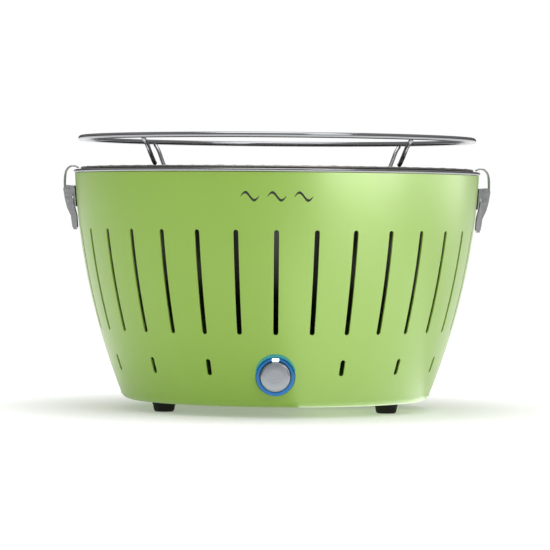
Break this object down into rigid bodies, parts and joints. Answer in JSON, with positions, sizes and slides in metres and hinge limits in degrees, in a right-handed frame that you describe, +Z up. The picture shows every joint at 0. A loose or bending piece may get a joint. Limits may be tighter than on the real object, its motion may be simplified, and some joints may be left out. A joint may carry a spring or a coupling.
{
  "type": "kettle charcoal grill",
  "caption": "Round table-top charcoal grill: slotted bowl on rubber feet, lift-out inner bowl, fire basket and grate with a rod ring, toggle latches at the sides, fan knob at the front",
  "frame": {"origin": "on the grill's vertical axis, on the surface that its feet stand on", "axes": "+Z up; -Y is the front, where the control knob is; the two toggle latches are at +X and -X"},
  "size_m": [0.3676, 0.35, 0.2342],
  "materials": {
    "green_enamel": "gloss powder coat",
    "stainless": "satin to polished stainless",
    "polished_wire": "electropolished stainless wire",
    "latch_steel": "pressed spring steel, bright",
    "black_rubber": "matt moulded rubber",
    "black_plastic": "moulded, fine texture",
    "knob_aluminium": "spun and brushed",
    "light_ring": "translucent, lit blue",
    "indicator": "lit white",
    "battery_wrap": "plain shrink sleeve",
    "circuit_board": "solder mask",
    "motor_steel": "zinc plated"
  },
  "bodies": {
    "bowl_and_base": {"outer_bowl": "green_enamel", "rim_trim": "stainless", "foot_front_right": "black_rubber", "foot_front_left": "black_rubber", "foot_rear": "black_rubber", "foot_screw_front_right": "latch_steel", "foot_screw_front_left": "latch_steel", "foot_screw_rear": "latch_steel", "battery_box": "black_plastic", "battery_1": "battery_wrap", "battery_2": "battery_wrap", "battery_3": "battery_wrap", "battery_4": "battery_wrap", "fan_housing": "black_plastic", "fan_motor": "motor_steel", "switch_housing": "black_plastic", "light_ring": "light_ring", "indicator_led": "indicator", "control_board": "circuit_board", "wire_harness": "black_plastic", "latch_bracket_right": "latch_steel", "latch_pivot_pin_right": "latch_steel", "latch_bracket_left": "latch_steel", "latch_pivot_pin_left": "latch_steel", "bracket_rivet_right_1": "latch_steel", "bracket_rivet_right_2": "latch_steel", "bracket_rivet_left_1": "latch_steel", "bracket_rivet_left_2": "latch_steel"},
    "impeller": {"fan_impeller": "black_plastic", "motor_shaft": "latch_steel"},
    "knob": {"control_knob": "knob_aluminium", "knob_cap": "knob_aluminium", "knob_shaft": "latch_steel"},
    "battery_cover": {"battery_cover": "black_plastic"},
    "lever_right": {"latch_lever_right": "latch_steel", "hook_pin_right": "latch_steel"},
    "hook_right": {"latch_hook_right": "latch_steel"},
    "lever_left": {"latch_lever_left": "latch_steel", "hook_pin_left": "latch_steel"},
    "hook_left": {"latch_hook_left": "latch_steel"},
    "inner_bowl": {"inner_bowl": "stainless"},
    "ignition_dish": {"ignition_dish": "stainless"},
    "charcoal_basket": {"charcoal_basket": "stainless", "basket_floor": "stainless"},
    "basket_lid": {"basket_lid": "stainless", "lid_handle": "stainless"},
    "grate": {"grate_mesh": "stainless", "grate_rim": "stainless", "heat_shield": "stainless", "upper_ring": "polished_wire", "ring_leg_1": "polished_wire", "ring_leg_2": "polished_wire", "ring_leg_3": "polished_wire", "ring_leg_4": "polished_wire"}
  },
  "joints": [
    {"name": "fan_spin", "type": "hinge", "parent": "bowl_and_base", "child": "impeller", "pos_m": [0, 0, 0.05], "axis": [0, 0, 1], "continuous": true},
    {"name": "knob_turn", "type": "hinge", "parent": "bowl_and_base", "child": "knob", "pos_m": [0, -0.147, 0.0346], "axis": [0, 1, 0], "range_deg": [0, 270]},
    {"name": "battery_cover_slide", "type": "slide", "parent": "bowl_and_base", "child": "battery_cover", "axis": [1, 0, 0], "range_m": [0, 0.09]},
    {"name": "lever_right_pivot", "type": "hinge", "parent": "bowl_and_base", "child": "lever_right", "pos_m": [0.1801, 0, 0.1878], "axis": [0, -1, 0], "range_deg": [0, 100]},
    {"name": "hook_right_pivot", "type": "hinge", "parent": "lever_right", "child": "hook_right", "pos_m": [0.1788, 0, 0.1796], "axis": [0, -1, 0], "range_deg": [-110, 0]},
    {"name": "lever_left_pivot", "type": "hinge", "parent": "bowl_and_base", "child": "lever_left", "pos_m": [-0.1801, 0, 0.1878], "axis": [0, 1, 0], "range_deg": [0, 100]},
    {"name": "hook_left_pivot", "type": "hinge", "parent": "lever_left", "child": "hook_left", "pos_m": [-0.1788, 0, 0.1796], "axis": [0, 1, 0], "range_deg": [-110, 0]},
    {"name": "inner_bowl_lift", "type": "slide", "parent": "bowl_and_base", "child": "inner_bowl", "axis": [0, 0, 1], "range_m": [0, 0.2]},
    {"name": "dish_lift", "type": "slide", "parent": "inner_bowl", "child": "ignition_dish", "axis": [0, 0, 1], "range_m": [0, 0.12]},
    {"name": "basket_lift", "type": "slide", "parent": "ignition_dish", "child": "charcoal_basket", "axis": [0, 0, 1], "range_m": [0, 0.12]},
    {"name": "lid_lift", "type": "slide", "parent": "charcoal_basket", "child": "basket_lid", "axis": [0, 0, 1], "range_m": [0, 0.08]},
    {"name": "grate_lift", "type": "slide", "parent": "basket_lid", "child": "grate", "axis": [0, 0, 1], "range_m": [0, 0.15]}
  ],
  "couplings": [
    {"joint": "hook_right_pivot", "follows": "lever_right_pivot", "ratio": -1.1},
    {"joint": "hook_left_pivot", "follows": "lever_left_pivot", "ratio": -1.1}
  ]
}
